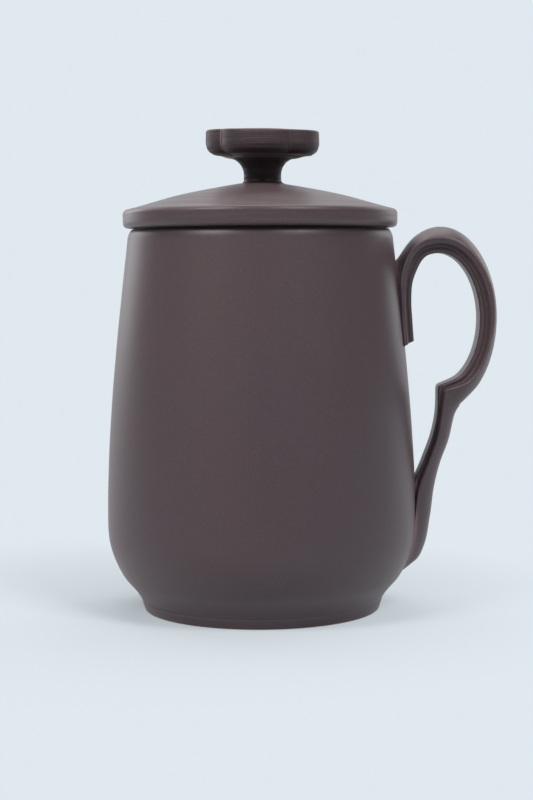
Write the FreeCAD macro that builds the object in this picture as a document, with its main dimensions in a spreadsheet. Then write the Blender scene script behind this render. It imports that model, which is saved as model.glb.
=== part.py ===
import FreeCAD, Part
import math
import os
import Sketcher
from FreeCAD import Placement, Rotation, Vector

# Lidded tea mug with infuser, unglazed clay, in millimetres.
# +Z is up, the origin is the centre of the foot's resting face, the handle points along +X.

os.makedirs("parts", exist_ok=True)
doc = FreeCAD.newDocument("lidded_tea_mug")
sheet = doc.addObject("Spreadsheet::Sheet", "sizes")


class Size:
    """A size that knows both its number and the expression that gives it."""

    def __init__(self, value, text):
        self.value = value
        self.text = text

    def join(self, other, sign, value):
        return Size(value, "(" + self.text + " " + sign + " " + as_size(other).text + ")")

    def __add__(self, other):
        return self.join(other, "+", self.value + as_size(other).value)

    def __sub__(self, other):
        return self.join(other, "-", self.value - as_size(other).value)

    def __mul__(self, other):
        return self.join(other, "*", self.value * as_size(other).value)

    def __truediv__(self, other):
        return self.join(other, "/", self.value / as_size(other).value)

    def __neg__(self):
        return Size(-self.value, "(-1 * " + self.text + ")")


def as_size(number):
    if isinstance(number, Size):
        return number
    return Size(float(number), "(" + repr(float(number)) + ")")


def size(name, value, meaning):
    """One driving dimension: a row of the sheet with its meaning beside it."""
    row = str(size.row)
    size.row += 1
    sheet.set("A" + row, meaning)
    sheet.set("B" + row, str(value))
    sheet.setAlias("B" + row, name)
    return Size(float(value), "sizes." + name)


size.row = 1

# Mug
belly_radius = size("belly_radius", 43.55, "outer radius that the belly curve is drawn to")
rim_height = size("rim_height", 106.4, "top of the mug's rim above the table")
rim_radius = size("rim_radius", 36.75, "outer radius at the rim")
wall_thick = size("wall_thick", 3.6, "thickness of the beaten wall")
lip_thick = size("lip_thick", 1.95, "thickness of the lip outside the infuser's seat")
seat_width = size("seat_width", 2.0, "width of the step that carries the infuser's flange")
flange_proud = size("flange_proud", 0.3, "height of the flange above the rim")
rim_round = size("rim_round", 1.2, "rounding of the rim's outer edge")

# Foot and base
foot_top_radius = size("foot_top_radius", 33.9, "outer radius where the foot meets the wall")
foot_taper = size("foot_taper", 0.9, "how far the foot's outside leans in towards the table")
foot_height = size("foot_height", 3.0, "height of the foot ring's outside")
foot_edge = size("foot_edge", 0.5, "rounding of the foot's lower edges")
wall_foot = size("wall_foot", 2.4, "width of the wall's lower edge, outside the base disc")
base_ledge = size("base_ledge", 2.5, "width of the foot ring's ledge under the base disc")
base_lift = size("base_lift", 2.2, "height of the base's underside above the table")
base_thick = size("base_thick", 4.0, "thickness of the base disc")

# Infuser
infuser_gap = size("infuser_gap", 0.5, "gap round the flange in its seat")
flange_thick = size("flange_thick", 3.0, "thickness of the flange")
infuser_play = size("infuser_play", 1.2, "gap between the infuser's wall and the mug's mouth")
infuser_taper = size("infuser_taper", 4.6, "how far the infuser's wall draws in towards its foot")
infuser_thick = size("infuser_thick", 2.4, "thickness of the infuser's wall and base")
infuser_depth = size("infuser_depth", 61.7, "depth of the infuser from its flange's top to its foot")
infuser_round = size("infuser_round", 1.6, "rounding of the infuser's lower edge")
drain_radius = size("drain_radius", 1.2, "radius of one drain hole")
drain_first = size("drain_first", 7.5, "height of the lowest drain row above the infuser's foot")
drain_step = size("drain_step", 6.0, "height from one drain row to the next")
drain_ring = size("drain_ring", 6.2, "radius step of the rings of holes in the base")
wall_holes = 18  # drain holes in one row of the infuser's wall
base_holes = (1, 6, 12, 18)  # drain holes in the base's middle and in each ring round it

# Lid
lid_overhang = size("lid_overhang", 1.45, "how far the lid stands out past the mug's rim")
lid_band = size("lid_band", 3.4, "straight height of the lid's rim")
lid_corner = size("lid_corner", 1.9, "rounding of the lid's upper corner")
lid_edge = size("lid_edge", 1.2, "rounding of the lid's lower edge")
dome_rise = size("dome_rise", 12.25, "height of the dome's top above the lid's underside")
lid_thick = size("lid_thick", 4.0, "thickness of the dome")
collar_gap = size("collar_gap", 0.6, "gap between the lid's collar and the infuser")
collar_thick = size("collar_thick", 2.4, "thickness of the collar")
collar_depth = size("collar_depth", 6.0, "depth of the collar below the lid")

# Knob
knob_offset = size("knob_offset", 0.75, "the knob was set this far off the lid's centre")
stem_radius = size("stem_radius", 5.2, "radius of the knob's stem")
stem_foot = size("stem_foot", 1.2, "spread of the stem where it meets the lid")
stem_height = size("stem_height", 2.9, "height at which the stem starts to flare")
flare_radius = size("flare_radius", 4.9, "radius of the flare under the head")
head_reach = size("head_reach", 15.95, "reach of each lobe of the knob's head")
head_crease = size("head_crease", 14.4, "radius at the creases between the lobes")
head_lift = size("head_lift", 8.3, "height of the head's underside above the dome's top")
head_thick = size("head_thick", 7.1, "thickness of the head")
head_round = size("head_round", 0.9, "rounding of the head's edges")
head_bond = size("head_bond", 0.2, "how far the flare is worked into the head")
head_turn = size("head_turn", -9.0, "turn of the lobes about the upright, in degrees")

# Handle
loop_reach = size("loop_reach", 10.65, "distance of the loop's centre from the wall beside it")
loop_drop = size("loop_drop", 25.1, "depth of the loop's centre below the rim")
loop_outer_half = size("loop_outer_half", 15.75, "half the loop's outer breadth")
loop_outer_rise = size("loop_outer_rise", 25.55, "half the loop's outer height")
loop_inner_half = size("loop_inner_half", 11.05, "half the finger hole's breadth")
loop_inner_rise = size("loop_inner_rise", 18.25, "half the finger hole's height")
hole_inset = size("hole_inset", 0.75, "how much nearer the wall the finger hole's middle lies than the loop's")
hole_sink = size("hole_sink", 0.15, "how far the finger hole's middle lies below the loop's")
strap_half = size("strap_half", 7.0, "half the strap's width round the loop")
arm_half = size("arm_half", 6.0, "half the width of the lower arm")
lip_ratio = size("lip_ratio", 0.58, "width of the inner lip beside the strap's width")
ridge_depth = size("ridge_depth", 2.7, "depth of the side ridge from the inner face, round the loop")
arm_ridge_depth = size("arm_ridge_depth", 1.5, "depth of the side ridge on the lower arm")
arm_foot = size("arm_foot", 10.3, "height of the lower arm's end above the table")

doc.recompute()

# Shared places, worked out from the driving sizes
seat_radius = rim_radius - lip_thick
mouth_radius = seat_radius - seat_width
base_radius = foot_top_radius - wall_foot
foot_low_radius = foot_top_radius - foot_taper
foot_inner_radius = base_radius - base_ledge
flange_top = rim_height + flange_proud
seat_height = flange_top - flange_thick
lid_under = flange_top
infuser_radius = mouth_radius - infuser_play
infuser_low_radius = infuser_radius - infuser_taper
infuser_foot = flange_top - infuser_depth
infuser_mouth = infuser_radius - infuser_thick
infuser_low_bore = infuser_low_radius - infuser_thick
collar_radius = infuser_mouth - collar_gap
lid_radius = rim_radius + lid_overhang
dome_top = lid_under + dome_rise


def new_body(name):
    body = doc.addObject("PartDesign::Body", name)
    body.Label = name
    body.Placement = Placement()
    return body


def origin_item(body, role):
    """One of the body's own planes or axes, by its role."""
    for feature in body.Origin.OriginFeatures:
        if feature.Role == role:
            return feature
    raise ValueError("no origin item " + role)


def new_sketch(body, name, role="XZ_Plane", offset=None):
    sketch = body.newObject("Sketcher::SketchObject", name)
    sketch.AttachmentSupport = [(origin_item(body, role), "")]
    sketch.MapMode = "FlatFace"
    if offset is not None:
        sketch.AttachmentOffset = offset
    return sketch


def constrain(sketch, kind, *where):
    """Add one constraint, and bind its size when the last item is a Size."""
    if isinstance(where[-1], Size):
        index = sketch.addConstraint(Sketcher.Constraint(kind, *where[:-1], where[-1].value))
        sketch.setExpression("Constraints[" + str(index) + "]", where[-1].text)
        return
    sketch.addConstraint(Sketcher.Constraint(kind, *where))


def place_point(sketch, edge, end, point):
    """Hold one point of the sketch at (across, up) from the sketch's origin."""
    across, up = as_size(point[0]), as_size(point[1])
    if abs(across.value) < 1e-9:
        constrain(sketch, "PointOnObject", edge, end, -2)
    else:
        constrain(sketch, "DistanceX", -1, 1, edge, end, across)
    if abs(up.value) < 1e-9:
        constrain(sketch, "PointOnObject", edge, end, -1)
    else:
        constrain(sketch, "DistanceY", -1, 1, edge, end, up)


def flat(point):
    return Vector(as_size(point[0]).value, as_size(point[1]).value, 0)


def arc_centre(start, end, radius, left):
    """Centre of the short arc that bulges to the right of the way from start to end, or to the left."""
    half = (end - start) * 0.5
    rise = math.sqrt(max(radius * radius - half.Length * half.Length, 0.0))
    side = Vector(-half.y, half.x, 0).normalize()
    return start + half - side * rise if left else start + half + side * rise


def add_line(sketch, start, end):
    edge = sketch.addGeometry(Part.LineSegment(flat(start), flat(end)), False)
    return edge, 1, 2


def add_arc(sketch, start, end, radius, left):
    """A short arc; its own start comes first when it bulges to the right and turns to the left."""
    first, last = flat(start), flat(end)
    centre = arc_centre(first, last, radius.value, left)
    begin, finish = (last, first) if left else (first, last)
    angles = [math.atan2(p.y - centre.y, p.x - centre.x) for p in (begin, finish)]
    if angles[1] < angles[0]:
        angles[1] += 2 * math.pi
    circle = Part.Circle(centre, Vector(0, 0, 1), radius.value)
    edge = sketch.addGeometry(Part.ArcOfCircle(circle, angles[0], angles[1]), False)
    constrain(sketch, "Radius", edge, radius)
    return (edge, 2, 1) if left else (edge, 1, 2)


def add_curve(sketch, poles, knots):
    """A smooth curve held by its poles; the first and last poles are its ends."""
    ends = [4] + [1] * (len(knots) - 2) + [4]
    curve = Part.BSplineCurve()
    curve.buildFromPolesMultsKnots([flat(p) for p in poles], ends, knots, False, 3)
    edge = sketch.addGeometry(curve, False)
    first_circle = sketch.GeometryCount
    sketch.exposeInternalGeometry(edge)
    for index in range(1, len(poles) - 1):
        place_point(sketch, first_circle + index, 3, poles[index])
    return edge, 1, 2


def draw_outline(sketch, start, steps):
    """Draw a closed outline from start; each step is a line, an arc or a curve to the next corner."""
    corner = start
    made = []
    for kind, *rest in steps:
        if kind == "line":
            made.append(add_line(sketch, corner, rest[0]))
            corner = rest[0]
        elif kind == "arc":
            made.append(add_arc(sketch, corner, rest[0], as_size(rest[1]), rest[2]))
            corner = rest[0]
        else:
            made.append(add_curve(sketch, [corner] + rest[0], rest[1]))
            corner = rest[0][-1]
    corner = start
    for number, (edge, begin, finish) in enumerate(made):
        place_point(sketch, edge, begin, corner)
        following = made[(number + 1) % len(made)]
        constrain(sketch, "Coincident", edge, finish, following[0], following[1])
        step = steps[number]
        corner = step[1][-1] if step[0] == "curve" else step[1]


def revolve(body, sketch, name, kind="PartDesign::Revolution"):
    turned = body.newObject(kind, name)
    turned.Profile = sketch
    turned.ReferenceAxis = (sketch, ["V_Axis"])
    turned.Angle = 360
    return turned


def revolved_body(name, start, steps):
    body = new_body(name)
    sketch = new_sketch(body, name + "_outline")
    draw_outline(sketch, start, steps)
    revolve(body, sketch, name + "_turned")
    return body


def checked_cut(body, feature, before):
    """Stop when a cut took nothing away."""
    doc.recompute()
    if feature.Shape.Volume > before - 1e-6:
        raise ValueError(body.Label + ": " + feature.Label + " cuts nothing")


def belly_curve(end_height):
    """The mug's outer curve, from the foot's cove over the belly to the rim."""
    return [
        (foot_top_radius * 1.01, foot_height * 1.3),
        (belly_radius * 0.838, foot_height * 2.35),
        (belly_radius * 0.895, foot_height * 3.0),
        (belly_radius * 0.992, rim_height * 0.169),
        (belly_radius, rim_height * 0.28),
        (belly_radius * 0.9645, rim_height * 0.595),
        (belly_radius * 0.89, rim_height * 0.826),
        (rim_radius, end_height),
    ]


belly_knots = [0.0, 3.0, 8.0, 14.0, 24.0, 50.0, 100.0]


def make_mug_wall():
    inner = [
        (belly_radius * 0.905 - wall_thick, base_lift + base_thick + 3.0),
        (belly_radius * 0.992 - wall_thick, rim_height * 0.175),
        (belly_radius - wall_thick, rim_height * 0.28),
        (belly_radius * 0.9645 - wall_thick, rim_height * 0.595),
        (belly_radius * 0.89 - wall_thick, rim_height * 0.81),
    ]
    corner_height = rim_height - rim_round
    steps = [
        ("curve", belly_curve(corner_height), belly_knots),
        ("arc", (rim_radius - rim_round, rim_height), rim_round, False),
        ("line", (seat_radius, rim_height)),
        ("line", (seat_radius, seat_height)),
        ("line", (mouth_radius, seat_height)),
        ("curve", inner[::-1] + [(base_radius, base_lift + base_thick)], [0.0, 1.0, 2.0, 3.0, 4.0]),
        ("line", (base_radius, foot_height)),
        ("line", (foot_top_radius, foot_height)),
    ]
    return revolved_body("mug_wall", (foot_top_radius, foot_height), steps)


def make_mug_base():
    top = base_lift + base_thick
    steps = [
        ("line", (base_radius, base_lift)),
        ("line", (base_radius, top)),
        ("line", (0, top)),
        ("line", (0, base_lift)),
    ]
    return revolved_body("mug_base", (0, base_lift), steps)


def make_foot_ring():
    steps = [
        ("line", (foot_low_radius - foot_edge, 0)),
        ("arc", (foot_low_radius, foot_edge), foot_edge, False),
        ("line", (foot_top_radius, foot_height)),
        ("line", (base_radius, foot_height)),
        ("line", (base_radius, base_lift)),
        ("line", (foot_inner_radius, base_lift)),
        ("line", (foot_inner_radius, foot_edge)),
        ("arc", (foot_inner_radius + foot_edge, 0), foot_edge, False),
    ]
    return revolved_body("foot_ring", (foot_inner_radius + foot_edge, 0), steps)


def drain_rows(body, name, rows, turn):
    """Holes bored straight out through the wall, copied round the axis."""
    doc.recompute()
    before = body.Shape.Volume
    sketch = new_sketch(body, name, "XZ_Plane", Placement(Vector(), Rotation(Vector(0, 1, 0), turn)))
    for row in rows:
        height = infuser_foot + drain_first + drain_step * row
        circle = Part.Circle(Vector(0, height.value, 0), Vector(0, 0, 1), drain_radius.value)
        edge = sketch.addGeometry(circle, False)
        constrain(sketch, "Radius", edge, drain_radius)
        place_point(sketch, edge, 3, (0, height))
    bore = body.newObject("PartDesign::Pocket", name + "_bore")
    bore.Profile = sketch
    bore.Type = "Length"
    bore.Length = infuser_radius.value * 2
    bore.setExpression("Length", infuser_radius.text + " * 2")
    checked_cut(body, bore, before)
    ring = body.newObject("PartDesign::PolarPattern", name + "_ring")
    ring.Originals = [bore]
    ring.Axis = (origin_item(body, "Z_Axis"), [""])
    ring.Angle = 360
    ring.Occurrences = wall_holes
    body.Tip = ring
    checked_cut(body, ring, bore.Shape.Volume)


def make_infuser_wall():
    steps = [
        ("line", (infuser_low_radius - infuser_round, infuser_foot)),
        ("arc", (infuser_low_radius, infuser_foot + infuser_round), infuser_round, False),
        ("line", (infuser_radius, seat_height)),
        ("line", (infuser_radius, flange_top)),
        ("line", (infuser_mouth, flange_top)),
        ("line", (infuser_mouth, seat_height)),
        ("line", (infuser_low_bore, infuser_foot + infuser_thick)),
        ("line", (infuser_low_bore, infuser_foot)),
    ]
    body = revolved_body("infuser_wall", (infuser_low_bore, infuser_foot), steps)
    drain_rows(body, "even_rows", (0, 2), 0.0)
    drain_rows(body, "odd_rows", (1, 3), 180.0 / wall_holes)
    return body


def make_infuser_flange():
    flange_radius = seat_radius - infuser_gap
    steps = [
        ("line", (flange_radius, seat_height)),
        ("line", (flange_radius, flange_top)),
        ("line", (infuser_radius, flange_top)),
        ("line", (infuser_radius, seat_height)),
    ]
    return revolved_body("infuser_flange", (infuser_radius, seat_height), steps)


def make_infuser_base():
    top = infuser_foot + infuser_thick
    steps = [
        ("line", (infuser_low_bore, infuser_foot)),
        ("line", (infuser_low_bore, top)),
        ("line", (0, top)),
        ("line", (0, infuser_foot)),
    ]
    body = revolved_body("infuser_base", (0, infuser_foot), steps)
    for ring_number, count in enumerate(base_holes):
        doc.recompute()
        before = body.Shape.Volume
        name = "drain_ring_" + str(ring_number)
        sketch = new_sketch(body, name, "XY_Plane")
        reach = drain_ring * ring_number
        circle = Part.Circle(Vector(reach.value, 0, 0), Vector(0, 0, 1), drain_radius.value)
        edge = sketch.addGeometry(circle, False)
        constrain(sketch, "Radius", edge, drain_radius)
        place_point(sketch, edge, 3, (reach, 0))
        bore = body.newObject("PartDesign::Pocket", name + "_bore")
        bore.Profile = sketch
        bore.Type = "Length"
        bore.Reversed = True
        bore.Length = top.value * 2
        bore.setExpression("Length", top.text + " * 2")
        checked_cut(body, bore, before)
        if count > 1:
            ring = body.newObject("PartDesign::PolarPattern", name + "_ring")
            ring.Originals = [bore]
            ring.Axis = (origin_item(body, "Z_Axis"), [""])
            ring.Angle = 360
            ring.Occurrences = count
            body.Tip = ring
            checked_cut(body, ring, bore.Shape.Volume)
    return body


def make_lid_plate():
    band_top = lid_under + lid_band
    shoulder = lid_radius - lid_corner * 0.75
    land = stem_radius + stem_foot
    dome = [
        (lid_radius * 0.838, lid_under + dome_rise * 0.503),
        (lid_radius * 0.671, lid_under + dome_rise * 0.706),
        (lid_radius * 0.431, lid_under + dome_rise * 0.857),
        (land, dome_top),
    ]
    hollow_radius = collar_radius - collar_thick
    ceiling = dome_top - lid_thick
    hollow = [
        (hollow_radius * 0.31, ceiling),
        (hollow_radius * 0.72, ceiling - dome_rise * 0.22),
        (hollow_radius * 0.96, ceiling - dome_rise * 0.40),
        (hollow_radius, lid_under),
    ]
    steps = [
        ("line", (lid_radius - lid_edge, lid_under)),
        ("arc", (lid_radius, lid_under + lid_edge), lid_edge, False),
        ("line", (lid_radius, band_top)),
        ("arc", (shoulder, band_top + lid_corner * 0.95), lid_corner, False),
        ("curve", dome, [0.0, 1.0, 2.0]),
        ("line", (0, dome_top)),
        ("line", (0, ceiling)),
        ("curve", hollow, [0.0, 1.0, 2.0]),
    ]
    return revolved_body("lid_plate", (hollow_radius, lid_under), steps)


def make_lid_collar():
    inner = collar_radius - collar_thick
    foot = lid_under - collar_depth
    edge = collar_thick * 0.25
    steps = [
        ("line", (collar_radius - edge, foot)),
        ("line", (collar_radius, foot + edge)),
        ("line", (collar_radius, lid_under)),
        ("line", (inner, lid_under)),
        ("line", (inner, foot)),
    ]
    return revolved_body("lid_collar", (inner, foot), steps)


def make_lid_knob():
    """Stem and flare are turned; the head is a four-lobed plate with soft edges."""
    body = new_body("lid_knob")
    sketch = new_sketch(body, "stem_outline")
    flare_start = dome_top + stem_height
    flare_end = (stem_radius + flare_radius, flare_start + flare_radius)
    head_under = dome_top + head_lift
    skirt_height = head_under + head_bond
    steps = [
        ("line", (stem_radius + stem_foot, dome_top)),
        ("arc", (stem_radius, dome_top + stem_foot), stem_foot, True),
        ("line", (stem_radius, flare_start)),
        ("arc", flare_end, flare_radius, True),
        ("line", (head_reach * 0.87, skirt_height)),
        ("line", (0, skirt_height)),
        ("line", (0, dome_top)),
    ]
    draw_outline(sketch, (0, dome_top), steps)
    revolve(body, sketch, "stem_turned")
    plan_place = Placement(Vector(0, 0, head_under.value), Rotation(Vector(0, 0, 1), head_turn.value))
    plan = new_sketch(body, "head_plan", "XY_Plane", plan_place)
    plan.setExpression("AttachmentOffset.Base.z", head_under.text)
    plan.setExpression("AttachmentOffset.Rotation.Angle", head_turn.text)
    diagonal = math.sqrt(0.5)
    side = head_crease * diagonal
    rise = head_reach - side
    lobe_radius = (side * side + rise * rise) / (rise * 2)
    corners = [(side, side), (-side, side), (-side, -side), (side, -side)]
    lobes = [("arc", corner, lobe_radius, False) for corner in corners[1:] + corners[:1]]
    draw_outline(plan, corners[0], lobes)
    head = body.newObject("PartDesign::Pad", "head")
    head.Profile = plan
    head.Length = head_thick.value
    head.setExpression("Length", head_thick.text)
    doc.recompute()
    low, high = head_under.value, (head_under + head_thick).value
    edges = edges_at(body.Shape, (low, high), head_crease.value * 0.9)
    soften(body, head, edges, head_round, "head_edges")
    body.Placement = Placement(Vector(knob_offset.value, 0, 0), Rotation())
    body.setExpression("Placement.Base.x", knob_offset.text)
    return body


def edges_at(shape, heights, reach):
    """Names of the level edges at these heights that lie beyond this reach."""
    names = []
    close = 0.01
    for number, edge in enumerate(shape.Edges, 1):
        box = edge.BoundBox
        level = any(abs(box.ZMin - z) < close and abs(box.ZMax - z) < close for z in heights)
        middle = edge.valueAt((edge.FirstParameter + edge.LastParameter) / 2)
        if level and math.hypot(middle.x, middle.y) > reach:
            names.append("Edge" + str(number))
    return names


def soften(body, feature, edges, radius, name):
    if not edges:
        raise ValueError(body.Label + ": no edges to soften")
    rounded = body.newObject("PartDesign::Fillet", name)
    rounded.Base = (feature, edges)
    rounded.Radius = radius.value
    rounded.setExpression("Radius", radius.text)
    doc.recompute()


def wall_radius(height):
    """Outer radius of the mug's wall at a height, read from the belly curve."""
    corner = (foot_top_radius, foot_height)
    poles = [flat(point) for point in [corner] + belly_curve(rim_height - rim_round)]
    ends = [4] + [1] * (len(belly_knots) - 2) + [4]
    curve = Part.BSplineCurve()
    curve.buildFromPolesMultsKnots(poles, ends, belly_knots, False, 3)
    low, high = curve.FirstParameter, curve.LastParameter
    for halving in range(40):
        middle = (low + high) / 2
        if curve.value(middle).y < height:
            low = middle
        else:
            high = middle
    return curve.value(low).x


def off_wall(gap, height):
    """A point this far outside the wall, or inside it where the gap is negative."""
    return wall_radius(height) + gap, height


def strap_section(body, name, inner, outer, ridge, breadth):
    """One cut through the strap: a round back, a ridge down each side, a cove and a narrow inner lip."""
    run, climb = outer[0] - inner[0], outer[1] - inner[1]
    depth = math.hypot(run, climb)
    lean = math.degrees(math.atan2(climb, run))
    place = Placement(Vector(inner[0], 0, inner[1]), Rotation(Vector(0, 1, 0), -lean))
    sketch = new_sketch(body, name, "XY_Plane", place)
    lip = breadth * lip_ratio
    lip_depth = ridge * 0.3
    back = as_size(depth) - ridge
    back_radius = (breadth * breadth + back * back) / (back * 2)
    lip_radius = (lip * lip + lip_depth * lip_depth) / (lip_depth * 2)
    cove_radius = breadth * 0.6
    steps = [
        ("arc", (lip_depth, -lip), lip_radius, False),
        ("arc", (ridge, -breadth), cove_radius, True),
        ("arc", (ridge, breadth), back_radius, False),
        ("arc", (lip_depth, lip), cove_radius, True),
    ]
    draw_outline(sketch, (lip_depth, lip), steps)
    return sketch


def loft(body, name, sections):
    strap = body.newObject("PartDesign::AdditiveLoft", name)
    strap.Profile = sections[0]
    strap.Sections = sections[1:]
    strap.Ruled = False
    strap.Closed = False
    doc.recompute()
    return strap


def make_handle():
    """A ridged strap: a tail down the wall, the loop, a spur and notch, and the lower arm."""
    body = new_body("handle")
    loop_z = rim_height.value - loop_drop.value
    loop_x = off_wall(loop_reach.value, loop_z)[0]

    def round_loop(half, rise, degrees, inset=0.0, sink=0.0):
        angle = math.radians(degrees)
        along, up = half.value * math.cos(angle), rise.value * math.sin(angle)
        return loop_x - inset + along, loop_z - sink + up

    # Each cut runs from the strap's inner face to its back, which is inside the wall here
    tail_half = strap_half * 1.06
    shoulder = loop_x - 6.4, loop_z + 14.2
    cuts = [
        (off_wall(2.95, loop_z + 5.2), off_wall(-2.35, loop_z + 5.9), ridge_depth, tail_half),
        (off_wall(4.1, loop_z + 10.7), off_wall(-2.15, loop_z + 12.7), ridge_depth, tail_half),
        (shoulder, round_loop(loop_outer_half, loop_outer_rise, 141), ridge_depth, strap_half),
    ]
    # Angles round the finger hole and round the loop's outside for each cut
    turns = [(106, 115), (90, 91), (60, 60), (30, 29), (0, 0), (-30, -26), (-60, -48)]
    for inner_turn, outer_turn in turns:
        inner = round_loop(loop_inner_half, loop_inner_rise, inner_turn, hole_inset.value, hole_sink.value)
        outer = round_loop(loop_outer_half, loop_outer_rise, outer_turn)
        cuts.append((inner, outer, ridge_depth, strap_half))
    spur = loop_x - 1.0, loop_z - 18.7
    notch = loop_x + 5.8, loop_z - 24.1
    cuts.append((spur, notch, ridge_depth, arm_half))
    loop = [strap_section(body, "loop_cut_" + str(i), *cut) for i, cut in enumerate(cuts)]
    loft(body, "loop", loop)
    # The tail is this much slimmer than the loop it hangs from, so it joins inside the loop's end
    slim = 0.04
    tail_top = off_wall(2.95 - slim, loop_z + 5.2), off_wall(-2.35 + slim, loop_z + 5.9)
    tail_end = off_wall(2.4 - slim, loop_z - 6.1), off_wall(-2.9 + slim, loop_z - 8.3)
    tail = [
        strap_section(body, "tail_top_cut", *tail_top, ridge_depth, tail_half - slim),
        strap_section(body, "tail_end_cut", *tail_end, ridge_depth, tail_half - slim),
    ]
    loft(body, "tail", tail)
    # Inner face and back of each cut: share of the way up the arm, distance from the wall.
    # The last value is the cut's breadth beside the arm's own
    arm_cuts = [
        ((0.878, 7.2), (0.847, 12.8), 1.0),
        ((0.738, 5.4), (0.706, 10.2), 0.98),
        ((0.606, 2.55), (0.580, 7.35), 1.0),
        ((0.472, -0.4), (0.461, 5.55), 1.06),
        ((0.300, -1.8), (0.292, 4.2), 1.12),
        ((0.157, -2.4), (0.140, 3.5), 1.15),
        ((0.0, -2.3), (0.045, 2.3), 1.05),
    ]
    arm = [strap_section(body, "spur_cut", spur, notch, ridge_depth, arm_half)]
    arm_rise = spur[1] - arm_foot.value
    for number, (near, far, broad) in enumerate(arm_cuts):
        inner = off_wall(near[1], arm_foot.value + arm_rise * near[0])
        outer = off_wall(far[1], arm_foot.value + arm_rise * far[0])
        name = "arm_cut_" + str(number)
        arm.append(strap_section(body, name, inner, outer, arm_ridge_depth, arm_half * broad))
    loft(body, "arm", arm)
    before = body.Shape.Volume
    sketch = new_sketch(body, "wall_side")
    corner_height = rim_height - rim_round
    steps = [
        ("curve", belly_curve(corner_height), belly_knots),
        ("line", (0, corner_height)),
        ("line", (0, foot_height)),
        ("line", (foot_top_radius, foot_height)),
    ]
    draw_outline(sketch, (foot_top_radius, foot_height), steps)
    cut = revolve(body, sketch, "wall_cut", "PartDesign::Groove")
    checked_cut(body, cut, before)
    return body


parts = [
    make_mug_wall(),
    make_mug_base(),
    make_foot_ring(),
    make_handle(),
    make_infuser_wall(),
    make_infuser_flange(),
    make_infuser_base(),
    make_lid_plate(),
    make_lid_collar(),
    make_lid_knob(),
]
doc.recompute()

for item in doc.Objects:
    if "Invalid" in item.State or "Error" in item.State:
        raise ValueError(item.Label + " failed: " + str(item.State))
for part in parts:
    shape = part.Shape
    if shape.isNull() or not shape.isValid() or len(shape.Solids) != 1:
        raise ValueError(part.Label + " is not one valid solid")
    shape.exportStep("parts/" + part.Label + ".step")
    box = shape.BoundBox
    corner = "{:.1f} {:.1f} {:.1f} to {:.1f} {:.1f} {:.1f}"
    place = corner.format(box.XMin, box.YMin, box.ZMin, box.XMax, box.YMax, box.ZMax)
    print(part.Label, "{:.1f} mm3".format(shape.Volume), place)
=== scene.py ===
"""Lidded tea mug with infuser: its fine clay forms and finish, and a pale studio stage."""
import math

import bmesh
import bpy
import numpy as np
from bpy.props import FloatProperty, FloatVectorProperty, IntProperty, PointerProperty
from mathutils import Matrix, Vector


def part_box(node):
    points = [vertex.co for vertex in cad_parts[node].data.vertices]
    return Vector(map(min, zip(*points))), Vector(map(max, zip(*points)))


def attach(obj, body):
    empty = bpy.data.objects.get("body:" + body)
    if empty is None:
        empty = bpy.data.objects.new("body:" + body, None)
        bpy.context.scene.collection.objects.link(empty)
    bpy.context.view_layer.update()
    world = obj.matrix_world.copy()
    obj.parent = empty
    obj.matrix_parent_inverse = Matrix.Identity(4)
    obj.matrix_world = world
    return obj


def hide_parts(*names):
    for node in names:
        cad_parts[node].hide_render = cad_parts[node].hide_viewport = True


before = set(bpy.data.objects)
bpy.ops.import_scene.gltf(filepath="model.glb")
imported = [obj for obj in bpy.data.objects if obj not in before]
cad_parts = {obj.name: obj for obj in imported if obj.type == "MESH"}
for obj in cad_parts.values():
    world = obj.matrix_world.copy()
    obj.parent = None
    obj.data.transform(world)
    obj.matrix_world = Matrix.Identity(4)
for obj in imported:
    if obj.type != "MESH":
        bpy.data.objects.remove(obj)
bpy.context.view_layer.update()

bl_info = {
    "name": "Lidded tea mug",
    "version": (1, 0, 0),
    "blender": (4, 5, 0),
    "location": "View3D > Sidebar > Tea mug",
    "description": "Makes the clay pieces of a lidded tea mug and the stage that it stands on",
    "category": "Add Mesh",
}

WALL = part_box("mug_wall")
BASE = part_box("mug_base")
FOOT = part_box("foot_ring")
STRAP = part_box("handle")
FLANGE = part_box("infuser_flange")
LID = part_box("lid_plate")
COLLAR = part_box("lid_collar")
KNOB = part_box("lid_knob")

BELLY_PULL = 1.0037  # the belly curve's pole lies this much further out than the belly
CURVE_END = 0.0005  # the wall's outer curve stops this far under the rim's top
TAIL_BREADTH = 1.06  # width of the strap's tail beside the loop's
LIP_BREADTH = 0.66  # width of the strap's inner lip beside the strap's
STEM_SPREAD = 0.0012  # how far the knob's stem spreads where it stands on the dome

ON_AXIS = 1e-6  # a point nearer the turning axis than this is a tip
CRISP_FROM = math.radians(50)  # faces that meet at more than this keep a crisp edge
ROUND_STEPS = 6  # points round an eased corner
BACK_STEPS = 45  # steps across the strap's round back
SIDE_STEPS = 4  # steps between two corners of the strap's side
# From the first side ridge to the second, as shares of the depth and the breadth between them
RIDGE_RISE = ((0.0, 0.0), (0.25, 0.06), (0.5, 0.25), (0.75, 0.58))
FIRST_RIDGE = 7 * SIDE_STEPS  # place of the first ridge on the strap's side
SECOND_RIDGE = FIRST_RIDGE + len(RIDGE_RISE)
LOBE_STEPS = 48  # steps round each lobe of the knob

PATCH_SIZE = 0.045  # size of the kiln's greyer patches
STREAK_SIZE = 0.02  # length of the level tool marks
STREAK_SQUEEZE = 28  # how many times longer than tall the tool marks are
EDGE_PALER = 1.7  # a sharp edge's colour beside the body's, paler from wear and painted highlight
GLINT_PALER = 3.8  # a painted highlight line's colour beside the body's


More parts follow.
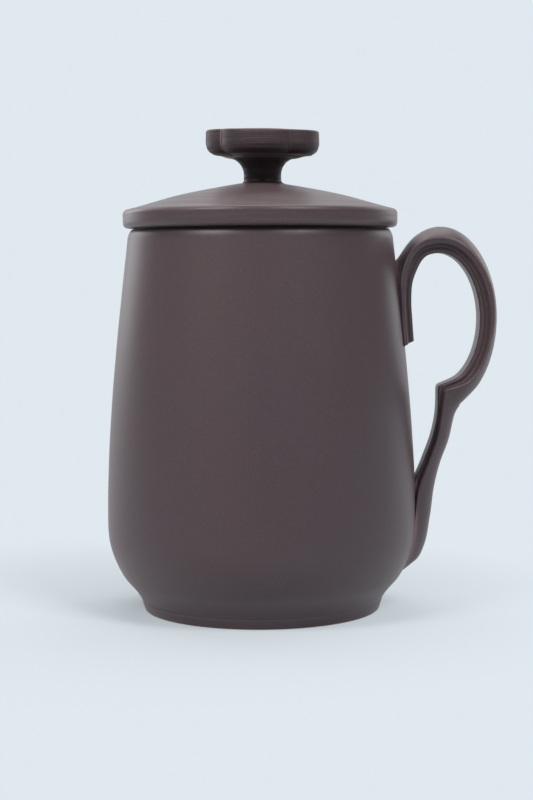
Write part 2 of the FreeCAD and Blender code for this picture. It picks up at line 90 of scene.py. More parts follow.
class MugSizes(bpy.types.PropertyGroup):
    """Sizes of the mug's wall, foot and lid; the defaults follow the frame."""

    belly_radius: FloatProperty(
        name="Belly radius", description="Widest outer radius of the wall",
        default=WALL[1][0], unit="LENGTH")
    foot_radius: FloatProperty(
        name="Foot radius", description="Outer radius where the foot meets the wall",
        default=FOOT[1][0], unit="LENGTH")
    foot_height: FloatProperty(
        name="Foot height", description="Height of the foot ring's outside",
        default=FOOT[1][2], unit="LENGTH")
    foot_taper: FloatProperty(
        name="Foot taper", description="How far the foot's outside leans in towards the table",
        default=0.0009, unit="LENGTH")
    foot_ledge: FloatProperty(
        name="Foot ledge", description="Width of the foot ring's ledge under the base",
        default=0.0025, unit="LENGTH")
    rim_height: FloatProperty(
        name="Rim height", description="Top of the rim above the table",
        default=WALL[1][2], unit="LENGTH")
    lid_overhang: FloatProperty(
        name="Lid overhang", description="How far the lid stands out past the rim",
        default=0.00145, unit="LENGTH")
    wall_thick: FloatProperty(
        name="Wall", description="Thickness of the wall",
        default=0.0036, unit="LENGTH")
    lip_thick: FloatProperty(
        name="Lip", description="Thickness of the lip outside the infuser's seat",
        default=0.00195, unit="LENGTH")
    seat_width: FloatProperty(
        name="Seat", description="Width of the step that carries the infuser",
        default=0.002, unit="LENGTH")
    rim_worn: FloatProperty(
        name="Rim rounding",
        description="How far the rim's outer edge is rounded in; the rounding is twice as tall",
        default=0.0014, unit="LENGTH")
    lid_band: FloatProperty(
        name="Lid band", description="Straight height of the lid's rim",
        default=0.0038, unit="LENGTH")
    lid_corner: FloatProperty(
        name="Lid corner", description="Rounding of the lid's upper corner",
        default=0.0014, unit="LENGTH")
    lid_edge: FloatProperty(
        name="Lid edge", description="Rounding of the lid's lower edge",
        default=0.0016, unit="LENGTH")
    lid_thick: FloatProperty(
        name="Lid thickness", description="Thickness of the dome",
        default=0.004, unit="LENGTH")
    collar_thick: FloatProperty(
        name="Collar", description="Thickness of the ring under the lid",
        default=0.0024, unit="LENGTH")
    waver: FloatProperty(
        name="Hand waver", description="How far the beaten wall and the dome stray from true",
        default=0.00006, unit="LENGTH", precision=5)
    segments: IntProperty(
        name="Segments", description="Steps round each turned piece",
        default=256, min=48, max=512)


class HandleSizes(bpy.types.PropertyGroup):
    """Sizes of the strap handle."""

    outer_half: FloatProperty(
        name="Outer half breadth", description="Half the loop's outer breadth",
        default=0.01575, unit="LENGTH")
    outer_rise: FloatProperty(
        name="Outer half height", description="Half the loop's outer height",
        default=0.02555, unit="LENGTH")
    inner_half: FloatProperty(
        name="Inner half breadth", description="Half the finger hole's breadth",
        default=0.0113, unit="LENGTH")
    inner_rise: FloatProperty(
        name="Inner half height", description="Half the finger hole's height",
        default=0.01825, unit="LENGTH")
    hole_inset: FloatProperty(
        name="Hole inset",
        description="How much nearer the wall the finger hole's middle lies than the loop's",
        default=0.00075, unit="LENGTH")
    hole_sink: FloatProperty(
        name="Hole sink", description="How far the finger hole's middle lies below the loop's",
        default=0.00015, unit="LENGTH")
    strap_half: FloatProperty(
        name="Strap half width", description="Half the strap's width round the loop",
        default=STRAP[1][1] / TAIL_BREADTH, unit="LENGTH")
    arm_half: FloatProperty(
        name="Arm half width", description="Half the width of the lower arm",
        default=0.006, unit="LENGTH")
    first_ridge: FloatProperty(
        name="First ridge", description="Depth of the side's faint ridge from the inner face",
        default=0.00295, unit="LENGTH")
    second_ridge: FloatProperty(
        name="Second ridge", description="Depth of the side's sharp ridge from the inner face",
        default=0.0044, unit="LENGTH")
    arm_ridge: FloatProperty(
        name="Arm ridge", description="Depth of the side's ridge on the lower arm",
        default=0.0015, unit="LENGTH")
    arm_foot: FloatProperty(
        name="Arm foot", description="Height of the lower arm's end above the table",
        default=0.0103, unit="LENGTH")
    slip_reach: FloatProperty(
        name="Slip reach", description="How far the slip creeps up the strap from the wall",
        default=0.0018, unit="LENGTH")


class KnobSizes(bpy.types.PropertyGroup):
    """Sizes of the lid's knob."""

    reach: FloatProperty(
        name="Lobe reach", description="Reach of each lobe from the knob's middle",
        default=(KNOB[1][0] - KNOB[0][0]) / 2, unit="LENGTH")
    crease: FloatProperty(
        name="Crease radius", description="Radius at the creases between the lobes",
        default=0.0136, unit="LENGTH")
    stem: FloatProperty(
        name="Stem radius", description="Radius of the stem",
        default=0.0052, unit="LENGTH")
    head: FloatProperty(
        name="Head thickness", description="Thickness of the head at its edge",
        default=0.0066, unit="LENGTH")
    flare: FloatProperty(
        name="Flare", description="Radius of the flare under the head",
        default=0.0049, unit="LENGTH")
    edge: FloatProperty(
        name="Edge", description="Rounding of the head's upper edge",
        default=0.0007, unit="LENGTH")
    worn: FloatProperty(
        name="Worn top", description="How far the top is burnished down",
        default=0.0005, unit="LENGTH")
    droop: FloatProperty(
        name="Droop", description="How far the near and far lobes dip below the others",
        default=0.00065, unit="LENGTH")
    turn: FloatProperty(
        name="Turn", description="Turn of the lobes about the upright",
        default=math.radians(-11.0), subtype="ANGLE")
    tilt: FloatProperty(
        name="Tilt", description="How far the head dips to the handle's side",
        default=math.radians(1.0), subtype="ANGLE")
    line: FloatProperty(
        name="Crease line", description="Height of the fine line down each crease",
        default=0.00035, unit="LENGTH", precision=5)


class ClayLook(bpy.types.PropertyGroup):
    """Colours and grain of the fired clay."""

    body: FloatVectorProperty(
        name="Body", description="Burnished purple-brown clay",
        default=(0.078, 0.050, 0.055), subtype="COLOR", min=0.0, max=1.0)
    cool: FloatVectorProperty(
        name="Cool patches", description="Greyer patches left by the kiln",
        default=(0.072, 0.052, 0.060), subtype="COLOR", min=0.0, max=1.0)
    raw: FloatVectorProperty(
        name="Raw edge", description="Redder clay where it isn't burnished",
        default=(0.105, 0.050, 0.044), subtype="COLOR", min=0.0, max=1.0)
    speck: FloatVectorProperty(
        name="Specks", description="Pale sand in the clay",
        default=(0.150, 0.115, 0.110), subtype="COLOR", min=0.0, max=1.0)
    grain: FloatProperty(
        name="Grain", description="Size of the clay's fine grain",
        default=0.00028, unit="LENGTH", precision=5)
    roughness: FloatProperty(
        name="Roughness", description="Roughness of the burnished clay",
        default=0.42, min=0.0, max=1.0, subtype="FACTOR")


class StageLook(bpy.types.PropertyGroup):
    """Colour of the floor, and place of the camera."""

    floor: FloatVectorProperty(
        name="Floor", description="Colour of the floor and the backdrop",
        default=(0.745, 0.812, 0.860), subtype="COLOR", min=0.0, max=1.0)
    lens: FloatProperty(
        name="Lens", description="Focal length of the camera on a sensor 36 mm high",
        default=78.3, subtype="NONE")
    camera_back: FloatProperty(
        name="Camera distance", description="Distance of the camera in front of the mug's axis",
        default=0.4875, unit="LENGTH")
    camera_up: FloatProperty(
        name="Camera height", description="Height of the camera above the table",
        default=0.09548, unit="LENGTH")
    camera_pitch: FloatProperty(
        name="Camera pitch", description="How far the camera looks down",
        default=math.radians(4.326), subtype="ANGLE")
    camera_yaw: FloatProperty(
        name="Camera yaw", description="How far the camera looks to the right",
        default=math.radians(0.180), subtype="ANGLE")
    camera_roll: FloatProperty(
        name="Camera roll", description="How far the camera is turned about its own axis",
        default=math.radians(-0.3), subtype="ANGLE")


def clipped(value):
    """The value, held between nothing and one."""
    return min(1.0, max(0.0, value))


def share(top, span):
    """How far top reaches into a span between knots; an empty span gives nothing."""
    return top / span if span > 0.0 else top * 0.0


def spline(poles, knots, count):
    """Points along a clamped cubic curve that is held by its poles."""
    ends = [knots[0]] * 3, [knots[-1]] * 3
    knots = np.array([*ends[0], *knots, *ends[1]], float)
    places = np.linspace(knots[0], knots[-1] - 1e-9 * (knots[-1] - knots[0]), count)
    basis = [((low <= places) & (places < high)) * 1.0 for low, high in zip(knots, knots[1:])]
    for degree in (1, 2, 3):
        spans = [knots[i + degree] - knots[i] for i in range(len(basis))]
        rising = [share(places - knots[i], span) for i, span in enumerate(spans)]
        falling = [share(knots[i + degree] - places, span) for i, span in enumerate(spans)]
        basis = [
            rising[i] * basis[i] + falling[i + 1] * basis[i + 1]
            for i in range(len(basis) - 1)
        ]
    return np.array(basis).T @ np.array(poles, float)


def eased(corners):
    """A path through corners of (radius, height, rounding); its two ends stay sharp."""
    path = [corners[0][:2]]
    for before, corner, after in zip(corners, corners[1:], corners[2:]):
        here = np.array(corner[:2], float)
        ways = [np.array(other[:2], float) - here for other in (before, after)]
        start, end = [here + way * corner[2] / max(np.linalg.norm(way), 1e-9) for way in ways]
        for step in np.linspace(0.0, 1.0, ROUND_STEPS):
            path.append((1 - step) ** 2 * start + 2 * step * (1 - step) * here + step ** 2 * end)
    path.append(corners[-1][:2])
    return [tuple(point) for point in path]


def filled(path, gap):
    """The same path with long stretches divided, so that its quads stay even."""
    points = [np.array(path[0], float)]
    for point in path[1:]:
        point = np.array(point, float)
        steps = max(1, math.ceil(np.linalg.norm(point - points[-1]) / gap))
        start = points[-1]
        points += [start + (point - start) * step / steps for step in range(1, steps + 1)]
    return points


def arc_points(start, end, radius, side, count):
    """A short arc from start to end; side 1 bulges to the right of the way, -1 to the left."""
    start, end = np.array(start, float), np.array(end, float)
    half = (end - start) / 2
    off = math.sqrt(max(radius ** 2 - half @ half, 0.0))
    centre = start + half + side * off * np.array((half[1], -half[0])) / -np.linalg.norm(half)
    angles = [math.atan2(*(point - centre)[::-1]) for point in (start, end)]
    sweep = (angles[1] - angles[0] + math.pi) % (2 * math.pi) - math.pi
    turns = np.linspace(angles[0], angles[0] + sweep, count)
    return [tuple(centre + radius * np.array((math.cos(turn), math.sin(turn)))) for turn in turns]


def through(stations, gap):
    """Rows that pass smoothly through the stations, about one gap apart.

    A station starts with its inner and its outer point, and the gap is how far those move.
    """
    rows = np.array(stations, float)
    lengths = np.linalg.norm(np.diff(rows[:, :4], axis=0), axis=1) / math.sqrt(2)
    places = np.concatenate(([0.0], np.cumsum(lengths)))
    slopes = np.gradient(rows, places, axis=0)
    made = []
    for i, length in enumerate(lengths):
        for t in np.arange(0.0, 1.0, 1.0 / max(2, round(length / gap))):
            leaving = (t - 2 * t ** 2 + t ** 3) * length
            arriving = (t ** 3 - t ** 2) * length
            mix = 3 * t ** 2 - 2 * t ** 3
            row = rows[i] * (1 - mix) + rows[i + 1] * mix
            made.append(row + slopes[i] * leaving + slopes[i + 1] * arriving)
    made.append(rows[-1])
    return made


def add_piece(name, points, faces, material, body, *nodes, painted_glint=None):
    """A smooth mesh object that rides on its body and stands for its nodes.

    The last argument gives each point a number from 0 to 1; the clay gets a painted highlight where
    it is high.
    """
    mesh = bpy.data.meshes.new(name)
    mesh.from_pydata([tuple(point) for point in points], [], faces)
    shape = bmesh.new()
    shape.from_mesh(mesh)
    bmesh.ops.recalc_face_normals(shape, faces=shape.faces)
    shape.to_mesh(mesh)
    shape.free()
    mesh.shade_smooth()
    mesh.set_sharp_from_angle(angle=CRISP_FROM)
    if painted_glint is not None:
        mesh.attributes.new("painted_glint", "FLOAT", "POINT").data.foreach_set("value", painted_glint)
    piece = bpy.data.objects.new(name, mesh)
    bpy.context.scene.collection.objects.link(piece)
    mesh.materials.append(material)
    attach(piece, body)
    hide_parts(*nodes)
    return piece


def ring_faces(rows, closed):
    """Quads and triangles between rows of vertex numbers; a row of one is a tip."""
    faces = []
    pairs = list(zip(rows, rows[1:]))
    if closed:
        pairs.append((rows[-1], rows[0]))
    for low, high in pairs:
        around = max(len(low), len(high))
        for i in range(around):
            j = (i + 1) % around
            under = [low[i % len(low)], low[j % len(low)]]
            over = [high[j % len(high)], high[i % len(high)]]
            faces.append(list(dict.fromkeys(under + over)))
    return [face for face in faces if len(face) > 2]


def turned(outline, segments, closed, stray=None):
    """Points and faces of a turned piece; stray gives how far a point lies inside the true form."""
    points, rows = [], []
    for radius, height in outline:
        count = 1 if radius < ON_AXIS else segments
        row = []
        for i in range(count):
            angle = 2 * math.pi * i / count
            reach = radius - (stray(angle, height) if stray else 0.0)
            row.append(len(points))
            points.append((reach * math.cos(angle), reach * math.sin(angle), height))
        rows.append(row)
    return points, ring_faces(rows, closed)


def wavering(amount):
    """A slow, hand-made unevenness, between nothing and twice this amount."""
    full = 2.9  # what the four waves come to where they all peak

    def stray(angle, height):
        slow = math.sin(2 * angle + 40 * height) + math.sin(3 * angle - 90 * height + 1.3)
        quick = 0.5 * math.sin(5 * angle + 150 * height + 0.7)
        rings = 0.4 * math.sin(420 * height + angle)
        return amount * (1 + (slow + (quick + rings)) / full)

    return stray


def belly_outline(sizes):
    """The wall's outer curve, from the foot's cove over the belly to the rim."""
    belly, rim = sizes.belly_radius * BELLY_PULL, sizes.rim_height
    foot, low = sizes.foot_radius, sizes.foot_height
    rim_radius = LID[1][0] - sizes.lid_overhang
    poles = [
        (foot, low), (foot * 1.01, low * 1.3), (belly * 0.838, low * 2.35),
        (belly * 0.895, low * 3.0), (belly * 0.992, rim * 0.169), (belly, rim * 0.28),
        (belly * 0.9645, rim * 0.595), (belly * 0.89, rim * 0.826), (rim_radius, rim - CURVE_END),
    ]
    return spline(poles, (0, 3, 8, 14, 24, 50, 100), count=170)


def inner_outline(sizes):
    """The wall's inner curve, from the mouth down to the base."""
    belly, rim, wall = sizes.belly_radius * BELLY_PULL, sizes.rim_height, sizes.wall_thick
    mouth = LID[1][0] - sizes.lid_overhang - sizes.lip_thick - sizes.seat_width
    poles = [
        (mouth, FLANGE[0][2]), (belly * 0.89 - wall, rim * 0.81),
        (belly * 0.9645 - wall, rim * 0.595), (belly - wall, rim * 0.28),
        (belly * 0.992 - wall, rim * 0.175),
        (belly * 0.905 - wall, BASE[1][2] + 0.003), (BASE[1][0], BASE[1][2]),
    ]
    return spline(poles, (0, 1, 2, 3, 4), count=110)


def strap_side(first, second, breadth):
    """Half a cut, from the inner face's middle over the lip, the cove and both side ridges."""
    stands_in = min(0.1, 70 * (second - first))  # the first ridge, inside the strap's full width
    lip, low = breadth * LIP_BREADTH, breadth * (1.0 - stands_in)
    rounding = min(0.0011, first * 0.45)
    corners = [
        (-lip * 0.5, first * 0.03), (0.0, 0.0), (lip - rounding, first * 0.03),
        (lip - rounding * 0.5, rounding * 0.17), (lip - rounding * 0.134, rounding * 0.5),
        (lip, rounding), (lip * 0.955, first * 0.66), (lip * 1.1, first * 0.83), (low, first),
    ]
    corners.append((2 * low - lip * 1.1, first * 1.1))
    side = []
    for before, start, end, after in zip(*(np.array(corners[i:]) for i in range(4))):
        for t in np.arange(SIDE_STEPS) / SIDE_STEPS:
            bend = (2 * before - 5 * start + 4 * end - after) * t ** 2
            turn = (3 * start - before - 3 * end + after) * t ** 3
            side.append(start + ((end - before) * t + bend + turn) / 2)
    for part, out in RIDGE_RISE:
        side.append(np.array((low + (breadth - low) * out, first + (second - first) * part)))
    return side


def strap_ring(station):
    """One cut through the strap: a round back, two ridges and a cove down each side, and a lip.

    A station holds its inner and outer point, the ridges' two depths and half its breadth.
    """
    inner, outer = np.array(station[:2]), np.array(station[2:4])
    first, second, breadth = station[4:7]
    depth = np.linalg.norm(outer - inner)
    way = (outer - inner) / depth
    side = strap_side(first, second, breadth)
    back = depth - second
    back_radius = (breadth ** 2 + back ** 2) / (2 * back)
    back_arc = arc_points((-breadth, second), (breadth, second), back_radius, -1, BACK_STEPS + 1)
    far_side = [(-across, deep) for across, deep in side]
    section = np.array(far_side + back_arc + side[:0:-1])
    section = (np.roll(section, 1, axis=0) + 2 * section + np.roll(section, -1, axis=0)) / 4
    return [
        (inner[0] + way[0] * deep, across, inner[1] + way[1] * deep) for across, deep in section]


def texture(nodes, links, kind, coordinates, size, stretch=(1, 1, 1)):
    """A noise or cell texture whose features have this size in metres."""
    place = nodes.new("ShaderNodeMapping")
    place.inputs["Scale"].default_value = stretch
    links.new(coordinates, place.inputs["Vector"])
    made = nodes.new(kind)
    made.inputs["Scale"].default_value = 1.0 / size
    links.new(place.outputs["Vector"], made.inputs["Vector"])
    return made


def ranged(nodes, links, value, low, high, to_low, to_high):
    """The value between low and high, spread from to_low to to_high."""
    made = nodes.new("ShaderNodeMapRange")
    made.inputs["From Min"].default_value = low
    made.inputs["From Max"].default_value = high
    made.inputs["To Min"].default_value = to_low
    made.inputs["To Max"].default_value = to_high
    links.new(value, made.inputs["Value"])
    return made.outputs["Result"]


def mixed(nodes, links, factor, first, second, blend="MIX"):
    """Colour mix; first and second are sockets or colours."""
    made = nodes.new("ShaderNodeMix")
    made.data_type = "RGBA"
    made.blend_type = blend
    if isinstance(factor, float):
        made.inputs[0].default_value = factor
    else:
        links.new(factor, made.inputs[0])
    for socket, colour in ((made.inputs[6], first), (made.inputs[7], second)):
        if isinstance(colour, bpy.types.NodeSocket):
            links.new(colour, socket)
        else:
            socket.default_value = (*colour, 1.0)
    return made.outputs[2]


def clay(name, look, tint=1.0, rougher=0.0, marks=0.3, raw_below=None, fades=(), shine=0.5):
    """Fired clay: fine grain, pale sand, kiln patches, level tool marks, paler sharp edges (wear
    and painted highlight) and painted highlight lines.

    Each fade is (height where it is full, height where it ends, shade) and darkens by height.
    Below raw_below the clay shows its redder, unburnished skin. shine is the specular level.
    """
    material = bpy.data.materials.get(name)
    if material:
        return material
    material = bpy.data.materials.new(name)
    material.use_nodes = True
    nodes, links = material.node_tree.nodes, material.node_tree.links
    shader = nodes["Principled BSDF"]
    place = nodes.new("ShaderNodeTexCoord").outputs["Object"]

    patches = texture(nodes, links, "ShaderNodeTexNoise", place, PATCH_SIZE, (1, 1, 0.6))
    patches.inputs["Detail"].default_value = 3.0
    patch = ranged(nodes, links, patches.outputs["Fac"], 0.35, 0.68, 0.0, 1.0)
    base = [channel * tint for channel in look.body]
    cool = [channel * tint for channel in look.cool]
    colour = mixed(nodes, links, patch, base, cool)

    grain = texture(nodes, links, "ShaderNodeTexNoise", place, look.grain)
    grain.inputs["Detail"].default_value = 4.0
    mottle = ranged(nodes, links, grain.outputs["Fac"], 0.25, 0.75, 0.80, 1.20)
    colour = mixed(nodes, links, 1.0, colour, mottle, "MULTIPLY")

    sand = texture(nodes, links, "ShaderNodeTexVoronoi", place, look.grain * 3.0)
    speck = ranged(nodes, links, sand.outputs["Distance"], 0.10, 0.16, 0.55, 0.0)
    colour = mixed(nodes, links, speck, colour, look.speck)

    level = 1, 1, STREAK_SQUEEZE
    streaks = texture(nodes, links, "ShaderNodeTexNoise", place, STREAK_SIZE, level)
    streaks.inputs["Detail"].default_value = 5.0
    uneven = 0.12 * marks
    streak = ranged(nodes, links, streaks.outputs["Fac"], 0.3, 0.7, 1.0 - uneven, 1.0 + uneven)
    colour = mixed(nodes, links, 1.0, colour, streak, "MULTIPLY")

    # sharp edges paler: partly wear, partly painted highlight where ridges catch light
    sharp = nodes.new("ShaderNodeNewGeometry").outputs["Pointiness"]
    worn = ranged(nodes, links, sharp, 0.515, 0.60, 0.0, 0.5)
    colour = mixed(nodes, links, worn, colour, [channel * EDGE_PALER for channel in base])

    # painted highlight on the lines that the point attribute marks: crease lines, strap ridges and
    # slip seams
    glint_lines = nodes.new("ShaderNodeAttribute")
    glint_lines.attribute_name = "painted_glint"
    painted_glints = [channel * GLINT_PALER for channel in base]
    colour = mixed(nodes, links, glint_lines.outputs["Fac"], colour, painted_glints)

    height = nodes.new("ShaderNodeSeparateXYZ")
    links.new(place, height.inputs[0])
    # darkening by height: painted shade at the rim and under the knob's head, tone and painted
    # shade at the foot
    for full, none, shade in fades:
        faded = ranged(nodes, links, height.outputs["Z"], full, none, 1.0, 0.0)
        shaded = mixed(nodes, links, 1.0, colour, shade, "MULTIPLY")
        colour = mixed(nodes, links, faded, colour, shaded)
    if raw_below is not None:
        raw = ranged(nodes, links, height.outputs["Z"], raw_below * 0.3, raw_below, 0.85, 0.0)
        colour = mixed(nodes, links, raw, colour, look.raw)
    links.new(colour, shader.inputs["Base Color"])

    gloss = look.roughness + rougher
    spread = 0.08 * marks
    rough = ranged(nodes, links, streaks.outputs["Fac"], 0.3, 0.7, gloss - spread, gloss + spread)
    links.new(rough, shader.inputs["Roughness"])
    shader.inputs["Specular IOR Level"].default_value = shine
    shader.inputs["Specular Tint"].default_value = (1.0, 0.93, 0.91, 1.0)
    shader.inputs["Sheen Weight"].default_value = 0.10
    shader.inputs["Sheen Tint"].default_value = (0.95, 0.72, 0.66, 1.0)
    shader.inputs["Sheen Roughness"].default_value = 0.45

    tools = nodes.new("ShaderNodeBump")
    tools.inputs["Strength"].default_value = marks
    tools.inputs["Distance"].default_value = 0.00010
    links.new(streaks.outputs["Fac"], tools.inputs["Height"])
    skin = nodes.new("ShaderNodeBump")
    skin.inputs["Strength"].default_value = 0.35
    skin.inputs["Distance"].default_value = 0.00004
    links.new(grain.outputs["Fac"], skin.inputs["Height"])
    links.new(tools.outputs["Normal"], skin.inputs["Normal"])
    links.new(skin.outputs["Normal"], shader.inputs["Normal"])
    return material


def finish_node(name, material):
    """Give a carried solid its clay."""
    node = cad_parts[name]
    if not node.material_slots:
        node.data.materials.append(material)
    for slot in node.material_slots:
        slot.material = material


class TEAMUG_OT_wall(bpy.types.Operator):
    """Make the beaten wall of the mug"""

    bl_idname = "tea_mug.wall"
    bl_label = "Wall"

    def execute(self, context):
        scene = context.scene
        sizes = scene.tea_mug_sizes
        rim_radius = LID[1][0] - sizes.lid_overhang
        seat_radius = rim_radius - sizes.lip_thick
        mouth_radius = seat_radius - sizes.seat_width
        rim, seat = sizes.rim_height, FLANGE[0][2]
        curve, inner = belly_outline(sizes), inner_outline(sizes)
        worn = sizes.rim_worn
        drop = worn * 2
        outer = [point for point in curve if point[1] < rim - drop - 0.0003]
        rounded = []
        for turn in np.linspace(0.0, math.pi / 2, 11):
            height = rim - drop + drop * math.sin(turn)
            reach = np.interp(height, curve[:, 1], curve[:, 0])
            rounded.append((reach - worn * (1 - math.cos(turn)), height))
        mouth = rounded[:-1] + eased([
            (*rounded[-1], 0), (seat_radius, rim, 0.0004),
            (seat_radius, seat, 0.0003), (mouth_radius, seat, 0.0004), (*inner[0], 0),
        ])
        foot = [(BASE[1][0], BASE[1][2]), (BASE[1][0], sizes.foot_height)]
        outline = [*outer, *filled(mouth, 0.001)[:-1], *inner[1:-1], *foot]
        points, faces = turned(outline, sizes.segments, True, wavering(sizes.waver))
        # darker and redder towards the foot: partly the clay's own tone, partly painted shade near
        # the table
        foot_fade = 0.0, 0.075, (0.92, 0.85, 0.86)
        # painted shade under the lid's overhang, darkest at the rim's top
        rim_painted_shade = rim, rim - 0.003, (0.42, 0.42, 0.42)
        fades = foot_fade, rim_painted_shade
        material = clay("wall_clay", scene.tea_mug_clay, marks=0.04, fades=fades)
        add_piece("beaten_wall", points, faces, material, "mug", "mug_wall")
        return {"FINISHED"}


class TEAMUG_OT_foot(bpy.types.Operator):
    """Make the foot ring and finish the base inside it"""

    bl_idname = "tea_mug.foot"
    bl_label = "Foot"

    def execute(self, context):
        scene = context.scene
        sizes = scene.tea_mug_sizes
        top, ledge = sizes.foot_height, BASE[0][2]
        outer_low = sizes.foot_radius - sizes.foot_taper
        seat = BASE[1][0]
        inner = seat - sizes.foot_ledge
        middle = (outer_low + inner) / 2
        outline = eased([
            (middle, 0, 0), (outer_low, 0, 0.0007), (sizes.foot_radius, top, 0), (seat, top, 0),
            (seat, ledge, 0), (inner, ledge, 0.0004), (inner, 0, 0.0007), (middle, 0, 0),
        ])[:-1]
        points, faces = turned(filled(outline, 0.0006), sizes.segments, True)
        material = clay("foot_clay", scene.tea_mug_clay, tint=0.86, marks=0.04, raw_below=0.0008)
        add_piece("luted_foot", points, faces, material, "mug", "foot_ring")
        finish_node("mug_base", clay("burnished_clay", scene.tea_mug_clay, marks=0.04))
        return {"FINISHED"}


class TEAMUG_OT_handle(bpy.types.Operator):
    """Make the ridged strap handle, bedded in slip on the wall"""

    bl_idname = "tea_mug.handle"
    bl_label = "Handle"

    def execute(self, context):
        scene = context.scene
        sizes = scene.tea_mug_handle
        profile = belly_outline(scene.tea_mug_sizes)
        spacing = 0.00045
        soft_rings, soft_passes = 3, 3

        def wall_radius(height):
            return float(np.interp(height, profile[:, 1], profile[:, 0]))

        def off_wall(gap, height):
            return wall_radius(height) + gap, height

        stations = self.tail_and_loop(sizes, off_wall)
        along = through(stations, spacing)
        mitre = len(along) - 1
        along += through(self.lower_arm(sizes, stations[-1], off_wall), spacing)[1:]
        rings = np.array([strap_ring(station) for station in along])
        for _ in range(soft_passes):
            span = slice(mitre - soft_rings, mitre + soft_rings + 1)
            softened = (np.roll(rings, 1, axis=0) + 2 * rings + np.roll(rings, -1, axis=0)) / 4
            rings[span] = softened[span]
        count = len(rings[0])
        points = [point for ring in rings for point in ring]
        rows = [list(range(start, start + count)) for start in range(0, len(points), count)]
        faces = ring_faces(rows, False) + [rows[0][::-1], rows[-1]]
        gaps = [math.hypot(x, y) - wall_radius(z) for x, y, z in points]
        # painted highlights on the side ridges and on the slip seam along the wall
        painted_glint = self.painted_glints(along, count, gaps)
        material = clay("strap_clay", scene.tea_mug_clay, marks=0.15)
        piece = add_piece("strap_handle", points, faces, material, "mug", "handle", painted_glint=painted_glint)
        self.bed_in_slip(piece.data, wall_radius, sizes.slip_reach)
        return {"FINISHED"}

    def tail_and_loop(self, sizes, off_wall):
        """Stations up the tail, round the loop and to the mitre between spur and notch."""
        loop_x = STRAP[1][0] - sizes.outer_half
        loop_z = STRAP[1][2] - sizes.outer_rise

        def round_loop(half, rise, degrees, inset=0.0, sink=0.0):
            angle = math.radians(degrees)
            return loop_x - inset + half * math.cos(angle), loop_z - sink + rise * math.sin(angle)

        first, second = sizes.first_ridge, sizes.second_ridge
        broad = sizes.strap_half * TAIL_BREADTH
        tail = first * 0.71, second * 0.66, broad
        stations = [
            (*off_wall(0.0024, loop_z - 0.0061), *off_wall(-0.0029, loop_z - 0.0083), *tail),
            (*off_wall(0.0026, loop_z - 0.0007), *off_wall(-0.0027, loop_z - 0.0012), *tail),
            (*off_wall(0.00295, loop_z + 0.0052), *off_wall(-0.00235, loop_z + 0.0059), *tail),
            (*off_wall(0.0041, loop_z + 0.0107), *off_wall(-0.00215, loop_z + 0.0127),
             first * 0.81, second * 0.82, broad),
            (loop_x - 0.0064, loop_z + 0.0142, *round_loop(sizes.outer_half, sizes.outer_rise, 141),
             first * 0.95, second * 0.95, sizes.strap_half),
        ]
        start_lead, end_lead = 9, 12  # degrees that the back leads by at the loop's two ends
        for degrees in range(106, -61, -6):
            near_start, near_end = max(0.0, (degrees - 86) / 20), max(0.0, -degrees / 60)
            lead = start_lead * near_start ** 2 + end_lead * near_end ** 2
            inner = round_loop(
                sizes.inner_half, sizes.inner_rise, degrees, sizes.hole_inset, sizes.hole_sink)
            outer = round_loop(sizes.outer_half, sizes.outer_rise, degrees + lead)
            joined = clipped((20 - degrees) / 45)  # the two ridges run together below 20 degrees
            lower_ridge = second + (first * 1.12 - second) * joined
            stations.append((*inner, *outer, first, lower_ridge, sizes.strap_half))
        spur = loop_x - 0.0010, loop_z - 0.0187
        notch = loop_x + 0.0058, loop_z - 0.0241
        stations.append((*spur, *notch, first * 0.75, first * 0.85, sizes.arm_half))
        return stations

    def lower_arm(self, sizes, mitre, off_wall):
        """Stations from the mitre down the arm to its end on the wall."""
        rise, ridge = mitre[1] - sizes.arm_foot, sizes.arm_ridge
        # Inner and outer face, as (share of the rise, distance off the wall), then the breadth
        cuts = [
            ((0.878, 0.0072), (0.847, 0.0124), 1.0), ((0.738, 0.0054), (0.706, 0.0101), 0.98),
            ((0.606, 0.00255), (0.580, 0.00735), 1.0), ((0.472, -0.0004), (0.461, 0.00555), 1.06),
            ((0.300, -0.0018), (0.292, 0.0042), 1.12), ((0.157, -0.0024), (0.140, 0.0035), 1.15),
            ((0.046, -0.0024), (0.063, 0.00285), 1.08), ((0.0, -0.0023), (0.045, 0.0019), 1.02),
        ]
        stations = [mitre]
        for (low, off), (high, far_off), breadth in cuts:
            inner = off_wall(off, sizes.arm_foot + rise * low)
            outer = off_wall(far_off, sizes.arm_foot + rise * high)
            stations.append((*inner, *outer, ridge * 0.8, ridge, sizes.arm_half * breadth))
        return stations

    def painted_glints(self, along, count, gaps):
        """Painted highlight of each point: on both side ridges, and on the seam of slip along the
        wall.
        """
        apart_from, apart_by = 0.0004, 0.0009
        seam_middle, seam_half = 0.0002, 0.0005
        painted_glint = []
        for first, second in [station[4:6] for station in along]:
            row = [0.0] * count
            apart = clipped((second - first - apart_from) / apart_by)
            row[SECOND_RIDGE] = row[count - SECOND_RIDGE] = 0.4 * apart
            on_loop = first > 0.0024  # the tail's and the arm's first ridge is lower
            row[FIRST_RIDGE] = row[count - FIRST_RIDGE] = 0.2 if on_loop else 0.06
            painted_glint += row
        seams = [0.5 * max(0.0, 1.0 - abs(gap - seam_middle) / seam_half) for gap in gaps]
        return [max(pair) for pair in zip(painted_glint, seams)]

